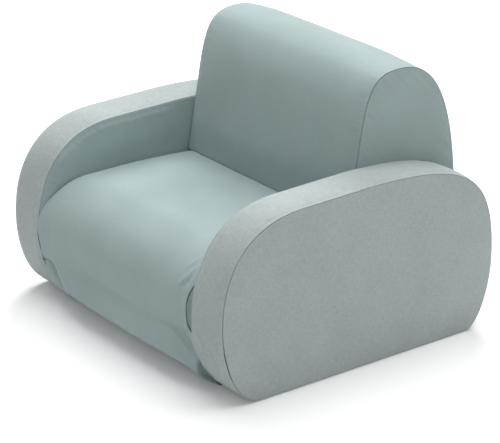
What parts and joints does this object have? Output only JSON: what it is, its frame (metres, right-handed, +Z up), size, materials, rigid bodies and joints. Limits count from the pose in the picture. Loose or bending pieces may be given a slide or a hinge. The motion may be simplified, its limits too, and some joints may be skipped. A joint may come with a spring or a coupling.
{
  "type": "kids chair",
  "caption": "Low foam armchair for a small child: a rolled-front seat and rounded back between two round-cornered arms, in zipped fabric covers.",
  "frame": {"origin": "on the floor, midway between the arms and midway along their length", "axes": "+X towards the sitter's left across the chair, +Y towards the back, +Z up; the front faces -Y"},
  "size_m": [0.558, 0.5168, 0.427],
  "materials": {
    "seat_fabric": "smooth woven polyester",
    "arm_fabric": "fine heathered weave",
    "base_fabric": "coarse non-slip weave",
    "foam": "cut open-cell foam",
    "zip_tape": "woven tape",
    "zip_teeth": "moulded coil",
    "zip_metal": "die-cast, tumbled",
    "thread": "sewing thread"
  },
  "bodies": {
    "chair": {"back_cover": "seat_fabric", "back_foam": "foam", "base_panel": "base_fabric", "left_arm_band": "arm_fabric", "left_arm_foam": "foam", "left_arm_inner_panel": "seat_fabric", "left_arm_outer_panel": "arm_fabric", "left_arm_zip_end_stop": "zip_metal", "left_arm_zip_start_stop": "zip_metal", "left_arm_zip_tape_a": "zip_tape", "left_arm_zip_tape_b": "zip_tape", "left_arm_zip_teeth_a": "zip_teeth", "left_arm_zip_teeth_b": "zip_teeth", "left_back_gusset": "seat_fabric", "left_front_tack": "thread", "left_seat_side": "seat_fabric", "rear_panel": "seat_fabric", "rear_zip_end_stop": "zip_metal", "rear_zip_start_stop": "zip_metal", "rear_zip_tape_a": "zip_tape", "rear_zip_tape_b": "zip_tape", "rear_zip_teeth_a": "zip_teeth", "rear_zip_teeth_b": "zip_teeth", "right_arm_band": "arm_fabric", "right_arm_foam": "foam", "right_arm_inner_panel": "seat_fabric", "right_arm_outer_panel": "arm_fabric", "right_arm_zip_end_stop": "zip_metal", "right_arm_zip_start_stop": "zip_metal", "right_arm_zip_tape_a": "zip_tape", "right_arm_zip_tape_b": "zip_tape", "right_arm_zip_teeth_a": "zip_teeth", "right_arm_zip_teeth_b": "zip_teeth", "right_back_gusset": "seat_fabric", "right_front_tack": "thread", "right_seat_side": "seat_fabric", "seat_cover": "seat_fabric", "seat_foam": "foam"},
    "left_arm_slider": {"left_arm_zip_slider": "zip_metal"},
    "left_arm_pull": {"left_arm_zip_pull": "zip_metal"},
    "right_arm_slider": {"right_arm_zip_slider": "zip_metal"},
    "right_arm_pull": {"right_arm_zip_pull": "zip_metal"},
    "rear_slider": {"rear_zip_slider": "zip_metal"},
    "rear_pull": {"rear_zip_pull": "zip_metal"}
  },
  "joints": [
    {"name": "left_arm_zip_slide", "type": "slide", "parent": "chair", "child": "left_arm_slider", "axis": [0, -1, 0], "range_m": [0, 0.278]},
    {"name": "left_arm_pull_hinge", "type": "hinge", "parent": "left_arm_slider", "child": "left_arm_pull", "pos_m": [0.239, 0.1492, 0.0039], "axis": [1, 0, 0], "range_deg": [0, 180]},
    {"name": "right_arm_zip_slide", "type": "slide", "parent": "chair", "child": "right_arm_slider", "axis": [0, -1, 0], "range_m": [0, 0.278]},
    {"name": "right_arm_pull_hinge", "type": "hinge", "parent": "right_arm_slider", "child": "right_arm_pull", "pos_m": [-0.239, 0.1492, 0.0039], "axis": [1, 0, 0], "range_deg": [0, 180]},
    {"name": "rear_zip_slide", "type": "slide", "parent": "chair", "child": "rear_slider", "axis": [1, 0, 0], "range_m": [0, 0.2864]},
    {"name": "rear_pull_hinge", "type": "hinge", "parent": "rear_slider", "child": "rear_pull", "pos_m": [-0.1419, 0.2376, 0.06], "axis": [0, 0, 1], "range_deg": [0, 180]}
  ]
}
